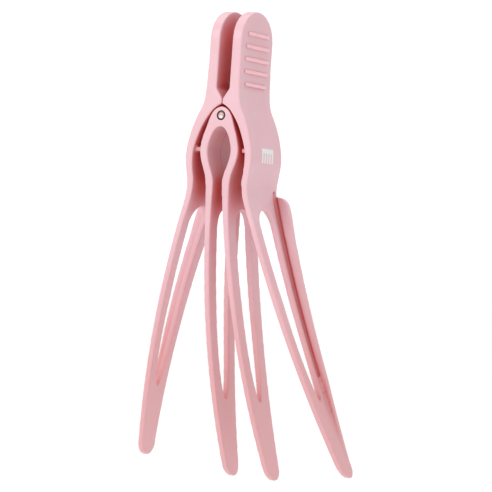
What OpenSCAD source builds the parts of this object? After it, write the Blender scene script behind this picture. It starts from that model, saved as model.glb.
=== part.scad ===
// Four-prong sectioning clip, squeezed open.
// X is the way the jaws open, Y runs from the front edge to the back edge, Z is up.
// The origin is the middle of the grip, halfway down the jaws, where the hair is held.

/* [Clip] */
// Height of the hinge pin above the middle of the grip
pivot_h = 50; // [46:1:60]
// Width of the levers and the fork, front to back
clip_w = 15.8; // [13.2:0.2:19]
// Thickness of the legs
leg_t = 1.55; // [1.3:0.05:1.85]

/* [Thumb pads] */
// Height of the pads above the hinge pin
pad_h = 26.6; // [22:0.2:32]
// Thickness of each pad
pad_t = 2.8; // [2.2:0.05:3.2]
// Gap between the squeezed pads
pad_gap = 3.6; // [3:0.1:4.3]
// Number of raised grip ribs on each pad
rib_n = 5; // [3:1:6]
// Spacing of the grip ribs
rib_pitch = 3.15; // [2.6:0.05:3.3]
// Radius of each grip rib, of which half stands out
rib_r = 0.5; // [0.3:0.05:0.6]

/* [Outer legs] */
// Depth of the outer tips below the hinge pin
outer_tip = 88.0; // [73:0.2:105]
// Angle of the opened outer legs from upright
outer_splay = 17.8; // [15:0.1:19]
// How quickly the front edge of the outer legs curves backwards
outer_sweep = 0.0033; // [0.0029:0.0001:0.0042]
// Greatest half width of the slot in an outer leg
outer_slot = 2.85; // [2.2:0.05:2.9]
// Thickness of the fin behind an outer leg
fin_t = 1.4; // [1.1:0.1:1.7]

/* [Inner legs] */
// Depth of the inner tips below the hinge pin
inner_tip = 91.4; // [76:0.2:109]
// Angle of the opened inner legs from upright
inner_splay = 3.2; // [2.8:0.1:3.8]
// How quickly the front edge of the inner legs curves backwards
inner_sweep = 0.0037; // [0.0032:0.0001:0.0046]
// Greatest half width of the slot in an inner leg
inner_slot = 2.95; // [2.4:0.05:3.3]

/* [Hinge] */
// Diameter of the hinge pin
pin_d = 2.0; // [1.7:0.1:2.1]
// Diameter of the formed heads of the pin
head_d = 2.3; // [2.15:0.05:2.6]
// Radial clearance of the lever lugs on the pin
pin_fit = 0.05; // [0.03:0.01:0.1]
// Thickness of each cheek of the fork
cheek_t = 2.1; // [1.8:0.1:2.4]
// Wire of the torsion spring
wire_d = 0.6; // [0.5:0.05:0.65]
// Turns of the torsion spring
spring_turns = 2.5; // [2.5:1:3.5]

/* [Hidden] */

pink = [0.95, 0.77, 0.78];
steel = [0.66, 0.63, 0.61];
side_gap = 0.1;               // fork is this much narrower than the levers, each side
half_w = clip_w / 2;
fork_half_w = half_w - side_gap;
bend_z = -7.4;                // where the edges start to curve backwards
lug_r = pin_d / 2 + 0.95;
lug_clear = 0.25;
spring_space = 4.6;           // room between the lugs for the spring
lug_gap = 0.15;
ring_t = 2.1;                 // thickness of the ring walls
knuckle_gap = 0.05;
flat = 0.02;                  // half gap at the waist where the levers meet
cap_l = 3.2;                  // length of the rounded leg tips
pad_cap = 7.3;                // height of the rounded pad tops
$fn = 48;

// Flexing points of the right half of the ring: shoulder, bow and neck
hinge_a = [2.9, -4.0];
hinge_b = [4.35, -9.0];
hinge_c = [2.3, -17.0];

// --- Curves -------------------------------------------------------------

// Point at t on a smooth curve from b to c, with a and d as its neighbours
function blend(a, b, c, d, t) =
    0.5 * (2 * b + (c - a) * t + (2 * a - 5 * b + 4 * c - d) * t * t
    + (3 * b - a - 3 * c + d) * t * t * t);

// Smooth curve through the points p, with n steps between two points
function curve(p, n = 4) = [
    for (i = [0:len(p) - 2])
        for (k = [0:n - 1])
            blend(p[max(i - 1, 0)], p[i], p[i + 1], p[min(i + 2, len(p) - 1)], k / n),
    p[len(p) - 1]
];

function reversed(p) = [for (i = [len(p) - 1:-1:0]) p[i]];
function mirrored(p) = [for (i = [len(p) - 1:-1:0]) [-p[i][0], p[i][1]]];

// Share of full width left at distance d from a rounded end of length l
function rounded(d, l) = d >= l ? 1 : sqrt(max(0, 1 - pow(1 - d / l, 2)));

// Front and back edges, seen from the side, of a leg at height z
outer_back_sweep = 0.0031;
inner_back_sweep = 0.0023;
function front_y(z, w, k) = -w + k * pow(min(z - bend_z, 0), 2);
function outer_back_y(z) = half_w + outer_back_sweep * pow(min(z + 27.4, 0), 2);
function inner_back_y(z) = fork_half_w + inner_back_sweep * pow(min(z - bend_z, 0), 2);

// Heights from top to tip, closer together in the rounded tip
function heights(top, tip, n) = concat(
    [for (i = [0:n - 1]) top - (top - (cap_l - tip)) * i / n],
    [for (a = [0:15:90]) cap_l - tip - cap_l * sin(a)]
);

// Edge points of an outer or inner leg, seen from the side; s is -1 in front and 1 behind
function outer_edge(z, s) = let (
    f = front_y(z, half_w, outer_sweep), b = outer_back_y(z),
    k = rounded(z + outer_tip, cap_l)
) [(f + b) / 2 + s * k * (b - f) / 2, z];

function inner_edge(z, s) = let (
    f = front_y(z, fork_half_w, inner_sweep), b = inner_back_y(z),
    k = rounded(z + inner_tip, cap_l)
) [(f + b) / 2 + s * k * (b - f) / 2, z];

// Long slot seen from the side: blunt at its top, widest below it, and drawn out to its lower end.
// u runs from 0 at the top to 1 at the end, a is the half width and flare what the top adds to it
slot_blunt = 0.09;
slot_even = 0.4;
function slot_end_round(u) = sqrt(max(0, 1 - pow(max(0, u - slot_even) / (1 - slot_even), 2)));
function slot_half(u, a, flare) =
    a * (1 + flare * max(0, 1 - 2 * u)) * rounded(u, slot_blunt) * slot_end_round(u);
outer_flare = [0.5, 0.3];
inner_flare = [0.25, 0.15];
function slot_at(i, n) = (1 - cos(180 * i / n)) / 2;
function outer_mid(z) = (outer_edge(z, -1)[0] + outer_edge(z, 1)[0]) / 2;
function inner_mid(z) = (inner_edge(z, -1)[0] + inner_edge(z, 1)[0]) / 2;

// --- Outlines seen from the front, for the right side -------------------

outer_foot = [11.0, -26.4];   // where the outer leg runs straight from
outer_x = outer_foot[0] + tan(outer_splay) * (outer_tip + outer_foot[1]);
outer_wall = leg_t / cos(outer_splay);
pad_in = pad_gap / 2;
pad_out = pad_in + pad_t;

lever_outside = concat(
    [[pad_out, pad_h]],
    curve([
        [pad_out, 12], [pad_out + 0.25, 6], [5.45, 2.6], [6.9, -0.4], [8.3, -4],
        [9.25, -8], [9.45, -11], [9.05, -14.3], [8.7, -17], [9.0, -20], [9.85, -22.9],
        outer_foot
    ]),
    [[outer_x, -outer_tip]]
);
lever_inside = concat(
    [[outer_x - outer_wall, -outer_tip]],
    curve([
        outer_foot - [outer_wall, 0], [8.25, -23.2], [7.35, -20.3], [7.0, -18], [6.9, -16],
        [7.3, -13.5], [7.45, -10.5], [7.05, -7.5], [5.3, -2.9], [3.4, 0.15], [2.0, 1.75],
        [0.5, 2.75]
    ]),
    [[flat, 2.9], [flat, 4.1], [pad_in + 0.05, 6.8], [pad_in, 8.6], [pad_in, pad_h]]
);

// Straight outside of the outer leg at height z
function leg_outside(z) = outer_foot[0] + tan(outer_splay) * (outer_foot[1] - z);

fin_top = -19.1;
fin_end = -84;
fin_outside = concat(
    curve([
        [8.0, fin_top], [10.0, fin_top - 0.02], [11.5, -19.6], [12.7, -20.9],
        [leg_outside(-24) + 3.5, -24], [leg_outside(-30) + 3.1, -30]
    ]),
    [[leg_outside(-64) + 1.9, -64], [leg_outside(-76) + 0.8, -76]]
);
fin_root = 0.8;

// Outline of a ring wall or leg: centre line points with the half thickness at each
function side_of(p, s) = [
    for (i = [0:len(p) - 1])
        let (
            d = p[min(i + 1, len(p) - 1)] - p[max(i - 1, 0)],
            m = norm([d[0], d[1]])
        )
        [p[i][0] + s * p[i][2] * d[1] / m, p[i][1] - s * p[i][2] * d[0] / m]
];
function band(p) = concat(side_of(p, 1), reversed(side_of(p, -1)));

wall_h = ring_t / 2;
knuckle_r = wall_h + 0.01;
upper_line = curve([
    [hinge_a[0], hinge_a[1], wall_h], [3.75, -5.9, wall_h], [4.2, -7.5, wall_h],
    [hinge_b[0], hinge_b[1], wall_h]
]);
lower_line = curve([
    [hinge_b[0], hinge_b[1], wall_h], [4.1, -10.9, wall_h], [3.35, -13.2, wall_h],
    [2.6, -15.2, wall_h], [hinge_c[0], hinge_c[1], wall_h]
]);
inner_run = inner_tip + hinge_c[1];
leg_in = hinge_c[0] - wall_h;
function inner_face(z) = leg_in + tan(inner_splay) * (hinge_c[1] - z);
inner_leg_line = [
    [hinge_c[0], hinge_c[1], wall_h],
    [inner_face(-19) + 0.95, -19, 0.95],
    [inner_face(-24) + 0.86, -24, 0.86],
    [inner_face(-32) + leg_t / 2, -32, leg_t / 2],
    [inner_face(-inner_tip) + leg_t / 2, -inner_tip, leg_t / 2]
];

crown_right = curve([
    [0.25, 2.2], [1.75, 1.3], [2.65, 0.2], [3.05, -0.8], [3.55, -2.4],
    [hinge_a[0] + wall_h, hinge_a[1]]
]);
hole_top = curve([[1.85, -4.0], [1.35, -3.2], [0, -2.75], [-1.35, -3.2], [-1.85, -4.0]]);

// --- Building helpers ---------------------------------------------------

// Outline drawn in X and Z, made solid from y0 to y1
module across(y0, y1) {
    translate([0, y1, 0]) rotate([90, 0, 0]) linear_extrude(y1 - y0) children();
}

// Outline drawn in Y and Z, made solid from x0 to x1
module along(x0, x1) {
    translate([x0, 0, 0]) rotate([90, 0, 90]) linear_extrude(x1 - x0) children();
}

// Round bar along Y about the point p of the front view
module bar(p, r, y0, y1) {
    translate([p[0], y1, p[1]]) rotate([90, 0, 0]) cylinder(r = r, h = y1 - y0);
}

module at_pivot() {
    translate([0, 0, pivot_h]) children();
}

module left_side() {
    mirror([1, 0, 0]) children();
}

// --- Levers -------------------------------------------------------------

module lever_side_view() {
    zs = heights(pad_h - pad_cap, outer_tip, 26);
    top = [for (a = [75:-15:0]) pad_h - pad_cap + pad_cap * sin(a)];
    n = 26;
    slot_top = -22.7;
    slot_end = 18.8 - outer_tip;
    difference() {
        polygon(concat(
            [[0, pad_h]],
            [for (z = top) [-half_w * rounded(pad_h - z, pad_cap), z]],
            [for (z = zs) outer_edge(z, -1)],
            [for (z = reversed(zs)) outer_edge(z, 1)],
            [for (z = reversed(top)) [half_w * rounded(pad_h - z, pad_cap), z]]
        ));
        polygon([
            for (i = [0:2 * n - 1])
                let (
                    u = slot_at(i <= n ? i : 2 * n - i, n),
                    z = slot_top + (slot_end - slot_top) * u,
                    s = i <= n ? -1 : 1,
                    flare = outer_flare[i <= n ? 0 : 1]
                )
                [outer_mid(z) + s * slot_half(u, outer_slot, flare), z]
        ]);
    }
}

module grip_ribs() {
    first = pad_h - 5.85;
    for (i = [0:rib_n - 1]) {
        z = first - i * rib_pitch;
        l = 5.9 - 0.5 * pow(2 * i / (rib_n - 1) - 1, 2);
        translate([pad_out, 0, z]) {
            rotate([90, 0, 0]) cylinder(r = rib_r, h = 2 * l, center = true, $fn = 24);
            for (s = [-1, 1]) translate([0, s * l, 0]) sphere(r = rib_r, $fn = 24);
        }
    }
}

module leg_fin() {
    zs = [for (i = [0:12]) fin_top + 1 - i * (fin_top + 1 - fin_end) / 12];
    intersection() {
        across(-half_w, 30) polygon(concat(
            fin_outside,
            [[leg_outside(fin_end), fin_end]],
            [[leg_outside(fin_end) - fin_root, fin_end]],
            [[leg_outside(-30) - fin_root, -30], [9.4, -22.9], [8.1, -20.5], [7.8, fin_top]]
        ));
        along(0, 40) polygon(concat(
            [for (z = zs) [outer_back_y(z), z]],
            [for (z = reversed(zs)) [outer_back_y(z) - fin_t, z]]
        ));
    }
}

// Lug on the pin, joined to the waist of its lever, from y0 to y1
module lug(y0, y1) {
    bar([0, 0], lug_r, y0, y1);
    across(y0, y1) polygon([[0.35, 0.6], [3.3, 0.05], [3.7, 0.6], [2.6, 3.6], [0.35, 3.6]]);
}

// Small pegs that follow the ring as the levers close
module ring_pegs() {
    x0 = 5.87;
    for (y = [0.9 - half_w + 1.2, half_w - 0.9 - 1.2])
        translate([x0, y - 0.9, -9.05]) cube([1.9, 1.8, 1.1]);
}

// One lever, right-handed; lug_side is the side of the clip that its lug sits on
module lever(lug_side) {
    y0 = spring_space / 2;
    y1 = half_w - side_gap - cheek_t - lug_gap;
    difference() {
        union() {
            intersection() {
                across(-half_w - 1, 40) polygon(concat(lever_outside, lever_inside));
                along(0, 45) lever_side_view();
            }
            grip_ribs();
            leg_fin();
            ring_pegs();
            if (lug_side > 0) lug(y0, y1);
            else lug(-y1, -y0);
        }
        bar([0, 0], pin_d / 2 + pin_fit, -half_w, half_w);
        translate([-1, -spring_space / 2, 1]) cube([2.95, spring_space, 8.2]);
    }
}

module left_lever() color(pink) at_pivot() left_side() lever(-1);
module right_lever() color(pink) at_pivot() lever(1);

// --- Fork ---------------------------------------------------------------

// Everything of the crown that lies above the shoulder hinges, seen from the front
module crown_view() {
    difference() {
        polygon(concat(crown_right, hole_top, mirrored(crown_right)));
        for (s = [-1, 1])
            translate([s * hinge_a[0], hinge_a[1]]) circle(r = knuckle_r + knuckle_gap);
    }
}

module fork_crown() color(pink) at_pivot() {
    w = fork_half_w;
    inside = w - cheek_t;
    difference() {
        across(-w, w) crown_view();
        bar([0, 0], lug_r + lug_clear, -inside, inside);
        translate([-6, -inside, -1.15]) cube([12, 2 * inside, 6]);
        bar([0, 0], pin_d / 2 + 0.005, -w - 1, w + 1);
        bar([0, 0], head_d / 2 + 0.005, -w - 1, 0.8 - w);
        bar([0, 0], head_d / 2 + 0.005, w - 0.8, w + 1);
    }
}

// Wall of the ring between two flexing points, full width, following the curved edges
module ring_wall(line, from, to) {
    zs = [for (i = [0:8]) 3 - i * 4];
    intersection() {
        across(-half_w, half_w + 2) difference() {
            union() {
                polygon(band(line));
                translate(from) circle(r = knuckle_r);
            }
            if (len(to) > 0) translate(to) circle(r = knuckle_r + knuckle_gap);
        }
        along(-10, 10) polygon(concat(
            [for (z = zs) inner_edge(z, -1)],
            [for (z = reversed(zs)) inner_edge(z, 1)]
        ));
    }
}

module ring_arm() {
    ring_wall(upper_line, hinge_a, hinge_b);
}

module ring_foot() {
    ring_wall(lower_line, hinge_b, hinge_c);
}

module inner_leg() {
    zs = heights(-12, inner_tip, 24);
    n = 26;
    slot_top = -23.1;
    slot_end = 20.2 - inner_tip;
    intersection() {
        across(-half_w, 40) union() {
            polygon(band(inner_leg_line));
            translate(hinge_c) circle(r = knuckle_r);
        }
        along(-2, 14) difference() {
            polygon(concat(
                [for (z = zs) inner_edge(z, -1)],
                [for (z = reversed(zs)) inner_edge(z, 1)]
            ));
            polygon([
                for (i = [0:2 * n - 1])
                    let (
                        u = slot_at(i <= n ? i : 2 * n - i, n),
                        z = slot_top + (slot_end - slot_top) * u,
                        s = i <= n ? -1 : 1,
                        flare = inner_flare[i <= n ? 0 : 1]
                    )
                    [inner_mid(z) + s * slot_half(u, inner_slot, flare), z]
            ]);
        }
    }
}

module left_ring_arm() color(pink) at_pivot() left_side() ring_arm();
module right_ring_arm() color(pink) at_pivot() ring_arm();
module left_ring_foot() color(pink) at_pivot() left_side() ring_foot();
module right_ring_foot() color(pink) at_pivot() ring_foot();
module left_inner_leg() color(pink) at_pivot() left_side() inner_leg();
module right_inner_leg() color(pink) at_pivot() inner_leg();

// --- Pin and spring -----------------------------------------------------

module pivot_pin() color(steel) at_pivot() {
    w = fork_half_w;
    bar([0, 0], pin_d / 2, -w, w);
    bar([0, 0], head_d / 2, -w, 0.8 - w);
    bar([0, 0], head_d / 2, w - 0.8, w);
}

// Centre of the spring wire: up one arm, round the coil and up the other arm
spring_r = pin_d / 2 + 0.1 + wire_d / 2;
arm_top = 8.6;
spring_steps = 16;
coil_n = spring_turns * spring_steps;
spring_pitch = wire_d + 0.12;
function coil_y(i) = spring_pitch * spring_turns * (0.5 - i / coil_n);
spring_path = concat(
    [[spring_r, coil_y(0), arm_top], [spring_r, coil_y(0), 3]],
    [for (i = [0:coil_n])
        let (a = 360 * i / spring_steps)
        [spring_r * cos(a), coil_y(i), -spring_r * sin(a)]],
    [[-spring_r, coil_y(coil_n), 3], [-spring_r, coil_y(coil_n), arm_top]]
);

// Round wire along the path p: a ring of points at each step, joined by triangles
module wire(p, r) {
    sides = 8;
    n = len(p);
    rings = [
        for (i = [0:n - 1])
            let (
                d = p[min(i + 1, n - 1)] - p[max(i - 1, 0)],
                f = d / norm(d),
                u = cross(f, [0, 1, 0]) / norm(cross(f, [0, 1, 0])),
                v = cross(f, u)
            )
            for (k = [0:sides - 1]) p[i] + r * (u * cos(360 * k / sides) + v * sin(360 * k / sides))
    ];
    skin = [
        for (i = [0:n - 2])
            for (k = [0:sides - 1])
                let (a = i * sides + k, b = i * sides + (k + 1) % sides)
                each [[a, b, a + sides], [b, b + sides, a + sides]]
    ];
    polyhedron(
        points = rings,
        faces = concat(
            [[for (k = [sides - 1:-1:0]) k]],
            skin,
            [[for (k = [0:sides - 1]) (n - 1) * sides + k]]
        )
    );
}

module torsion_spring() color(steel) at_pivot() wire(spring_path, wire_d / 2);

// --- Nodes --------------------------------------------------------------

fork_crown();
pivot_pin();
torsion_spring();
left_lever();
right_lever();
left_ring_arm();
right_ring_arm();
left_ring_foot();
right_ring_foot();
left_inner_leg();
right_inner_leg();
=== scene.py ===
"""Dresses the four-prong sectioning clip: rounded mouldings, a steel pin and spring, a studio and a camera.

Lengths are written in millimetres and turned into metres by mm(). Heights are counted from the hinge pin,
which runs along Y. X is the way the jaws open, and Z is up.
"""

import logging
import math
from dataclasses import dataclass, field
from enum import Enum
from typing import Iterable, Optional, Sequence

import bmesh
import bpy
from mathutils import Matrix, Vector


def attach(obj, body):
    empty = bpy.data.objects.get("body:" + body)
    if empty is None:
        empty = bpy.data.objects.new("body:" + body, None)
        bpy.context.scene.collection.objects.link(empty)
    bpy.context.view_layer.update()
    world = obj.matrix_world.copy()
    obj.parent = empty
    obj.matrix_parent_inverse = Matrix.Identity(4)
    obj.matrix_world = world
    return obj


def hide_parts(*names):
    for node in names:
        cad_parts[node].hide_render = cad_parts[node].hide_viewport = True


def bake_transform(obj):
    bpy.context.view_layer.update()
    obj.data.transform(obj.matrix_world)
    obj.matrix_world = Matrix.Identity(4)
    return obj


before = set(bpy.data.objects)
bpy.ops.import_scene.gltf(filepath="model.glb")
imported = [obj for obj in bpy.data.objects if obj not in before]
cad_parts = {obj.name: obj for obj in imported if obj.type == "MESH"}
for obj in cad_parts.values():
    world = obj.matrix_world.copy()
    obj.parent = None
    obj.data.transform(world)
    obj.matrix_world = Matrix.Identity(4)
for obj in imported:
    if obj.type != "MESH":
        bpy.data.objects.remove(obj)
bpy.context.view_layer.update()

logging.basicConfig(level=logging.INFO, format="%(levelname)s %(message)s")
log = logging.getLogger("sectioning_clip")

Point = tuple[float, float]
Span = tuple[float, float]
Colour = tuple[float, float, float]
CutPlane = tuple[Vector, Vector]
PIN_HEIGHT = 50.0
MM_PER_METRE = 1000.0
ROUND_SIDES = 64
ALMOST_NOTHING = 1e-6
WELD_GAP = 0.001
CUT_GAP = 0.0005


def mm(value: float) -> float:
    """Millimetres as metres."""
    return value / MM_PER_METRE


class Side(Enum):
    """The two mirror-image halves of the clip."""

    LEFT = -1
    RIGHT = 1

    @property
    def word(self) -> str:
        """The side's name as the bodies spell it."""
        return self.name.lower()


class Plane(Enum):
    """The view that an outline is drawn in."""

    FRONT = "x and z"
    SIDE = "y and z"


# --- Curves ---------------------------------------------------------------


def smooth_curve(points: Sequence[Point], steps: int = 10) -> list[Point]:
    """A smooth curve through points.

    Args:
        points: The points that the curve passes through.
        steps: How many points to return for each stretch.

    Returns:
        The points of the curve, both ends included.
    """
    out: list[Point] = []
    last = len(points) - 1
    for i in range(last):
        near = points[max(i - 1, 0)], points[i], points[i + 1], points[min(i + 2, last)]
        for k in range(steps):
            t = k / steps
            out.append(tuple(
                0.5 * (
                    2 * q + (r - p) * t
                    + (2 * p - 5 * q + 4 * r - s) * t * t
                    + (3 * q - p - 3 * r + s) * t**3
                )
                for p, q, r, s in zip(*near)
            ))
    out.append(tuple(points[-1]))
    return out


def rounded(distance: float, length: float) -> float:
    """Share of the full width left at a distance from a rounded end of that length."""
    if distance >= length:
        return 1.0
    return math.sqrt(max(0.0, 1.0 - (1.0 - distance / length) ** 2))


# --- Mesh work ------------------------------------------------------------


def new_object(name: str, mesh: bpy.types.Mesh) -> bpy.types.Object:
    """Links a new object that shows mesh, at the origin."""
    obj = bpy.data.objects.new(name, mesh)
    bpy.context.scene.collection.objects.link(obj)
    return obj


def as_object(work: bmesh.types.BMesh, name: str) -> bpy.types.Object:
    """Turns finished mesh work into an object, and frees the work."""
    mesh = bpy.data.meshes.new(name)
    work.to_mesh(mesh)
    work.free()
    return new_object(name, mesh)


def prism(name: str, outline: Sequence[Point], plane: Plane, low: float, high: float) -> bpy.types.Object:
    """A solid with a drawn outline, straight from low to high.

    Args:
        name: The object's name.
        outline: Its corners in millimetres, with heights from the pin.
        plane: The view that the outline is drawn in.
        low: Where it starts, in millimetres along the other axis.
        high: Where it ends.

    Returns:
        The closed solid.
    """
    work = bmesh.new()
    rings = []
    for depth in (low, high):
        ring = []
        for across, height in outline:
            x, y = (across, depth) if plane is Plane.FRONT else (depth, across)
            ring.append(work.verts.new(Vector((x, y, height + PIN_HEIGHT)) / MM_PER_METRE))
        rings.append(ring)
    count = len(outline)
    work.faces.new(rings[0])
    work.faces.new(list(reversed(rings[1])))
    for i in range(count):
        j = (i + 1) % count
        work.faces.new((rings[0][j], rings[0][i], rings[1][i], rings[1][j]))
    bmesh.ops.recalc_face_normals(work, faces=work.faces)
    return as_object(work, name)


def rod(name: str, x: float, height: float, radius: float, low: float, high: float) -> bpy.types.Object:
    """A round bar along Y, for cutting.

    Args:
        name: The object's name.
        x: Where its centre line is across the clip, in millimetres.
        height: The height of its centre line from the pin.
        radius: Its radius.
        low: Where it starts along Y.
        high: Where it ends.

    Returns:
        The closed bar.
    """
    angles = [math.tau * k / ROUND_SIDES for k in range(ROUND_SIDES)]
    circle = [(x + radius * math.cos(angle), height + radius * math.sin(angle)) for angle in angles]
    return prism(name, circle, Plane.FRONT, low, high)


def apply_modifiers(obj: bpy.types.Object) -> None:
    """Turns an object's live modifiers into plain mesh and removes them."""
    bpy.context.view_layer.update()
    evaluated = obj.evaluated_get(bpy.context.evaluated_depsgraph_get())
    mesh = bpy.data.meshes.new_from_object(evaluated)
    obj.modifiers.clear()
    old = obj.data
    obj.data = mesh
    if old.users == 0:
        bpy.data.meshes.remove(old)


def combine(obj: bpy.types.Object, tools: Iterable[bpy.types.Object], operation: str) -> None:
    """Joins, cuts or intersects obj with each tool, and removes the tools.

    Args:
        obj: The solid that changes.
        tools: The solids to work with.
        operation: UNION, DIFFERENCE or INTERSECT.
    """
    for tool in tools:
        step = obj.modifiers.new("combine", "BOOLEAN")
        step.operation = operation
        step.solver = "EXACT"
        step.object = tool
        apply_modifiers(obj)
        bpy.data.objects.remove(tool)


def soften(obj: bpy.types.Object, voxel: float, passes: int) -> None:
    """Gives a solid the rounded edges of a moulding.

    Args:
        obj: The solid that changes.
        voxel: The size of the new mesh's faces, in millimetres.
        passes: How often to smooth, which sets how round the edges get.
    """
    grid = obj.modifiers.new("grid", "REMESH")
    grid.mode = "VOXEL"
    grid.voxel_size = mm(voxel)
    grid.adaptivity = 0.0
    grid.use_smooth_shade = True
    relax = obj.modifiers.new("relax", "SMOOTH")
    relax.factor = 0.5
    relax.iterations = passes
    apply_modifiers(obj)
    obj.data.shade_smooth()


def cad_copy(node: str, name: str) -> bpy.types.Object:
    """A merged copy of a CAD node's mesh, as a new object."""
    work = bmesh.new()
    work.from_mesh(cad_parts[node].data)
    bmesh.ops.remove_doubles(work, verts=work.verts, dist=mm(WELD_GAP))
    return as_object(work, name)


def slice_between(source: bpy.types.Object, name: str, planes: Sequence[CutPlane]) -> bpy.types.Object:
    """The part of a solid that lies in front of every plane, closed where it is cut.

    Args:
        source: The solid to copy from.
        name: The new object's name.
        planes: Pairs of a point and a direction, each pair keeping what lies on the direction's side.

    Returns:
        The cut solid, with its cut faces flat.
    """
    work = bmesh.new()
    work.from_mesh(source.data)
    for point, direction in planes:
        cut = bmesh.ops.bisect_plane(
            work, geom=work.verts[:] + work.edges[:] + work.faces[:],
            plane_co=point, plane_no=direction, clear_inner=True, dist=mm(CUT_GAP),
        )
        rim = [e for e in cut["geom_cut"] if isinstance(e, bmesh.types.BMEdge)]
        made = bmesh.ops.holes_fill(work, edges=rim, sides=0)["faces"]
        for face in made:
            face.smooth = False
        for edge in rim:
            if edge.is_valid:
                edge.smooth = False
    return as_object(work, name)


def revolve(name: str, profile: Sequence[Point], sides: int = ROUND_SIDES) -> bpy.types.Object:
    """A turned piece on the pin's axis.

    Args:
        name: The object's name.
        profile: Pairs of the place along Y and the radius, in millimetres, from end to end.
        sides: How many faces go round.

    Returns:
        The closed piece.
    """
    work = bmesh.new()
    ends = [work.verts.new((0, mm(along), mm(PIN_HEIGHT))) for along, _ in (profile[0], profile[-1])]
    rings = []
    for along, radius in profile:
        rings.append([
            work.verts.new((
                mm(radius * math.cos(math.tau * k / sides)), mm(along),
                mm(PIN_HEIGHT + radius * math.sin(math.tau * k / sides)),
            ))
            for k in range(sides)
        ])
    for first, second in zip(rings, rings[1:]):
        for k in range(sides):
            j = (k + 1) % sides
            work.faces.new((first[k], first[j], second[j], second[k]))
    for k in range(sides):
        j = (k + 1) % sides
        work.faces.new((ends[0], rings[0][j], rings[0][k]))
        work.faces.new((ends[1], rings[-1][k], rings[-1][j]))
    bmesh.ops.recalc_face_normals(work, faces=work.faces)
    for face in work.faces:
        face.smooth = True
    return as_object(work, name)


# --- Node helpers ---------------------------------------------------------

MIX_UNDER, MIX_OVER, MIX_RESULT = 6, 7, 2


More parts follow.
